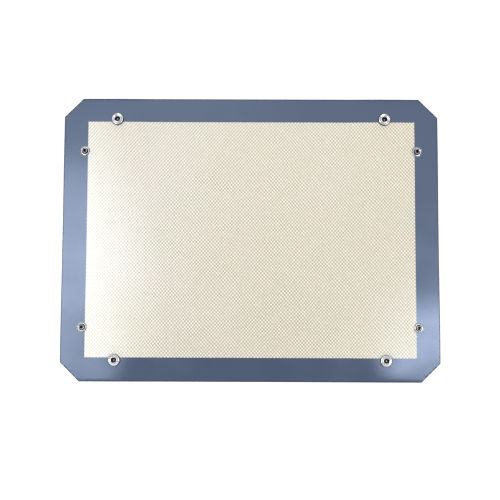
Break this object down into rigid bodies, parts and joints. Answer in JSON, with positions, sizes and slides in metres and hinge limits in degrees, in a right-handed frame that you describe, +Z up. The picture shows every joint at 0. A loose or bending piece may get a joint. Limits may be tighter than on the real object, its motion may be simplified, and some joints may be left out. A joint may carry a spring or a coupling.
{
  "type": "silicone baking mat",
  "caption": "Thin rectangular baking mat of silicone over glass cloth, with a coloured edge band and cut corners whose press studs pinch them, so that the edges stand up as a tray.",
  "frame": {"origin": "under the middle of the flat mat, on the surface that it lies on", "axes": "+X along the mat to its right, +Y from its front edge to its back edge, +Z up through the sheet"},
  "size_m": [0.4, 0.302, 0.006],
  "materials": {
    "silicone_field": "translucent cream silicone over woven glass cloth, fine plain weave, satin",
    "silicone_band": "slate-blue silicone, smooth satin with a faint trace of the weave",
    "glass_cloth": "plain-woven glass yarn, sealed in silicone",
    "plated_steel": "bright nickel plate on pressed steel",
    "spring_wire": "drawn phosphor bronze wire"
  },
  "bodies": {
    "floor_panel": {"floor_cloth": "glass_cloth", "floor_silicone": "silicone_field"},
    "left_wall": {"left_wall_band": "silicone_band", "left_wall_cloth": "glass_cloth", "left_wall_silicone": "silicone_field"},
    "right_wall": {"right_wall_band": "silicone_band", "right_wall_cloth": "glass_cloth", "right_wall_silicone": "silicone_field"},
    "front_wall": {"front_wall_band": "silicone_band", "front_wall_cloth": "glass_cloth", "front_wall_silicone": "silicone_field"},
    "back_wall": {"back_wall_band": "silicone_band", "back_wall_cloth": "glass_cloth", "back_wall_silicone": "silicone_field"},
    "front_left_stud_flap": {"front_left_post": "plated_steel", "front_left_stud": "plated_steel", "front_left_stud_flap_band": "silicone_band", "front_left_stud_flap_cloth": "glass_cloth", "front_left_stud_flap_silicone": "silicone_field"},
    "front_left_socket_flap": {"front_left_cap": "plated_steel", "front_left_socket": "plated_steel", "front_left_socket_flap_band": "silicone_band", "front_left_socket_flap_cloth": "glass_cloth", "front_left_socket_flap_silicone": "silicone_field", "front_left_spring": "spring_wire"},
    "front_right_stud_flap": {"front_right_post": "plated_steel", "front_right_stud": "plated_steel", "front_right_stud_flap_band": "silicone_band", "front_right_stud_flap_cloth": "glass_cloth", "front_right_stud_flap_silicone": "silicone_field"},
    "front_right_socket_flap": {"front_right_cap": "plated_steel", "front_right_socket": "plated_steel", "front_right_socket_flap_band": "silicone_band", "front_right_socket_flap_cloth": "glass_cloth", "front_right_socket_flap_silicone": "silicone_field", "front_right_spring": "spring_wire"},
    "back_left_stud_flap": {"back_left_post": "plated_steel", "back_left_stud": "plated_steel", "back_left_stud_flap_band": "silicone_band", "back_left_stud_flap_cloth": "glass_cloth", "back_left_stud_flap_silicone": "silicone_field"},
    "back_left_socket_flap": {"back_left_cap": "plated_steel", "back_left_socket": "plated_steel", "back_left_socket_flap_band": "silicone_band", "back_left_socket_flap_cloth": "glass_cloth", "back_left_socket_flap_silicone": "silicone_field", "back_left_spring": "spring_wire"},
    "back_right_stud_flap": {"back_right_post": "plated_steel", "back_right_stud": "plated_steel", "back_right_stud_flap_band": "silicone_band", "back_right_stud_flap_cloth": "glass_cloth", "back_right_stud_flap_silicone": "silicone_field"},
    "back_right_socket_flap": {"back_right_cap": "plated_steel", "back_right_socket": "plated_steel", "back_right_socket_flap_band": "silicone_band", "back_right_socket_flap_cloth": "glass_cloth", "back_right_socket_flap_silicone": "silicone_field", "back_right_spring": "spring_wire"}
  },
  "joints": [
    {"name": "left_wall_fold", "type": "hinge", "parent": "floor_panel", "child": "left_wall", "pos_m": [-0.134, 0, 0.00235], "axis": [0, 1, 0], "range_deg": [0, 90], "stiffness_Nm_per_rad": 0.05},
    {"name": "right_wall_fold", "type": "hinge", "parent": "floor_panel", "child": "right_wall", "pos_m": [0.134, 0, 0.00235], "axis": [0, -1, 0], "range_deg": [0, 90]},
    {"name": "back_wall_fold", "type": "hinge", "parent": "floor_panel", "child": "back_wall", "pos_m": [0, 0.085, 0.00235], "axis": [1, 0, 0], "range_deg": [0, 90]},
    {"name": "front_wall_fold", "type": "hinge", "parent": "floor_panel", "child": "front_wall", "pos_m": [0, -0.085, 0.00235], "axis": [-1, 0, 0], "range_deg": [0, 90]},
    {"name": "front_left_crease", "type": "hinge", "parent": "left_wall", "child": "front_left_stud_flap", "pos_m": [-0.134, -0.08158, 0.0016], "axis": [1, 0, 0], "range_deg": [0, 45]},
    {"name": "front_left_pinch", "type": "hinge", "parent": "front_left_stud_flap", "child": "front_left_socket_flap", "pos_m": [-0.134, -0.085, 0.00455], "axis": [-0.7071, -0.7071, 0], "range_deg": [0, 180]},
    {"name": "front_right_crease", "type": "hinge", "parent": "right_wall", "child": "front_right_stud_flap", "pos_m": [0.134, -0.08158, 0.0016], "axis": [1, 0, 0], "range_deg": [0, 45]},
    {"name": "front_right_pinch", "type": "hinge", "parent": "front_right_stud_flap", "child": "front_right_socket_flap", "pos_m": [0.134, -0.085, 0.00455], "axis": [-0.7071, 0.7071, 0], "range_deg": [0, 180]},
    {"name": "back_left_crease", "type": "hinge", "parent": "left_wall", "child": "back_left_stud_flap", "pos_m": [-0.134, 0.08158, 0.0016], "axis": [-1, 0, 0], "range_deg": [0, 45]},
    {"name": "back_left_pinch", "type": "hinge", "parent": "back_left_stud_flap", "child": "back_left_socket_flap", "pos_m": [-0.134, 0.085, 0.00455], "axis": [0.7071, -0.7071, 0], "range_deg": [0, 180]},
    {"name": "back_right_crease", "type": "hinge", "parent": "right_wall", "child": "back_right_stud_flap", "pos_m": [0.134, 0.08158, 0.0016], "axis": [-1, 0, 0], "range_deg": [0, 45]},
    {"name": "back_right_pinch", "type": "hinge", "parent": "back_right_stud_flap", "child": "back_right_socket_flap", "pos_m": [0.134, 0.085, 0.00455], "axis": [0.7071, 0.7071, 0], "range_deg": [0, 180]}
  ],
  "couplings": [
    {"joint": "right_wall_fold", "follows": "left_wall_fold", "ratio": 1},
    {"joint": "back_wall_fold", "follows": "left_wall_fold", "ratio": 1},
    {"joint": "front_wall_fold", "follows": "left_wall_fold", "ratio": 1},
    {"joint": "front_left_crease", "follows": "left_wall_fold", "ratio": 0.5},
    {"joint": "front_left_pinch", "follows": "left_wall_fold", "ratio": 2},
    {"joint": "front_right_crease", "follows": "left_wall_fold", "ratio": 0.5},
    {"joint": "front_right_pinch", "follows": "left_wall_fold", "ratio": 2},
    {"joint": "back_left_crease", "follows": "left_wall_fold", "ratio": 0.5},
    {"joint": "back_left_pinch", "follows": "left_wall_fold", "ratio": 2},
    {"joint": "back_right_crease", "follows": "left_wall_fold", "ratio": 0.5},
    {"joint": "back_right_pinch", "follows": "left_wall_fold", "ratio": 2}
  ]
}
